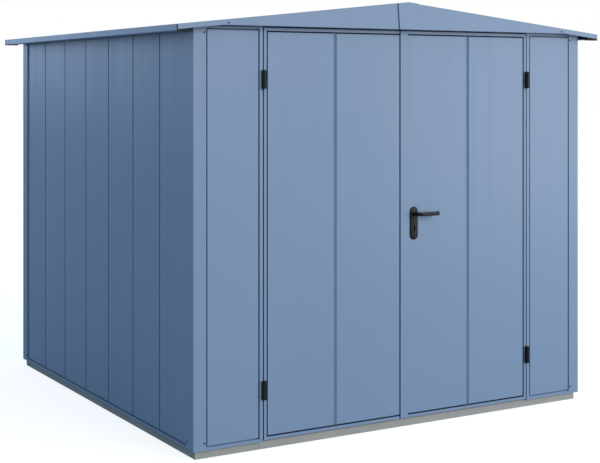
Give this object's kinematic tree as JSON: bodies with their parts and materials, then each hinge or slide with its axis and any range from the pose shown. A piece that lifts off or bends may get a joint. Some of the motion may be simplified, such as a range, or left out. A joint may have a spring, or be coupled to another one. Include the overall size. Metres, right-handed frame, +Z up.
{
  "type": "metal tool shed",
  "caption": "Metal tool shed of folded steel panels with a low gable roof, hinged double doors with a lever handle, and a concrete base slab.",
  "frame": {"origin": "middle of the plan over the corner posts, on the underside of the concrete slab", "axes": "+Z up, front with the doors towards -Y, +X to the right seen from the front"},
  "size_m": [2.582, 2.49, 2.1631],
  "materials": {
    "painted_sheet": "satin blue-grey polyester paint",
    "black_hinge": "satin black",
    "black_handle": "moulded satin black",
    "black_plug": "moulded matt black",
    "concrete": "smooth cast concrete"
  },
  "bodies": {
    "shell": {"base_slab": "concrete", "left_sill": "painted_sheet", "right_sill": "painted_sheet", "back_sill": "painted_sheet", "front_left_sill": "painted_sheet", "front_right_sill": "painted_sheet", "front_left_post": "painted_sheet", "front_right_post": "painted_sheet", "back_left_post": "painted_sheet", "back_right_post": "painted_sheet", "left_wall_panels": "painted_sheet", "right_wall_panels": "painted_sheet", "back_wall_panels": "painted_sheet", "front_left_panel": "painted_sheet", "front_right_panel": "painted_sheet", "left_jamb": "painted_sheet", "right_jamb": "painted_sheet", "left_top_rail": "painted_sheet", "right_top_rail": "painted_sheet", "back_top_rail": "painted_sheet", "front_top_rail": "painted_sheet", "left_roof_panels": "painted_sheet", "right_roof_panels": "painted_sheet", "ridge_cap": "painted_sheet", "front_ridge_cover": "painted_sheet", "back_ridge_cover": "painted_sheet", "ridge_beam": "painted_sheet", "ridge_beam_posts": "painted_sheet", "left_eave_fascia": "painted_sheet", "right_eave_fascia": "painted_sheet", "eave_plugs": "black_plug", "eave_fillers": "painted_sheet", "front_gable_left": "painted_sheet", "front_gable_right": "painted_sheet", "back_gable_left": "painted_sheet", "back_gable_right": "painted_sheet", "left_hinge_pins": "black_hinge", "right_hinge_pins": "black_hinge"},
    "left_door": {"left_hinge_knuckles": "black_hinge", "left_door_frame": "painted_sheet", "left_door_panel": "painted_sheet"},
    "right_door": {"right_hinge_knuckles": "black_hinge", "right_door_frame": "painted_sheet", "right_door_panel": "painted_sheet", "lock_case": "painted_sheet", "outer_handle_plate": "black_handle", "inner_handle_plate": "black_handle"},
    "lever": {"door_lever": "black_handle"}
  },
  "joints": [
    {"name": "left_door_swing", "type": "hinge", "parent": "shell", "child": "left_door", "pos_m": [-0.817, -1.201, 0], "axis": [0, 0, -1], "range_deg": [0, 165]},
    {"name": "right_door_swing", "type": "hinge", "parent": "shell", "child": "right_door", "pos_m": [0.817, -1.201, 0], "axis": [0, 0, 1], "range_deg": [0, 165]},
    {"name": "lever_turn", "type": "hinge", "parent": "right_door", "child": "lever", "pos_m": [0.0675, -1.19, 1.085], "axis": [0, 1, 0], "range_deg": [0, 40], "stiffness_Nm_per_rad": 0.8, "springref_deg": -22.92}
  ]
}
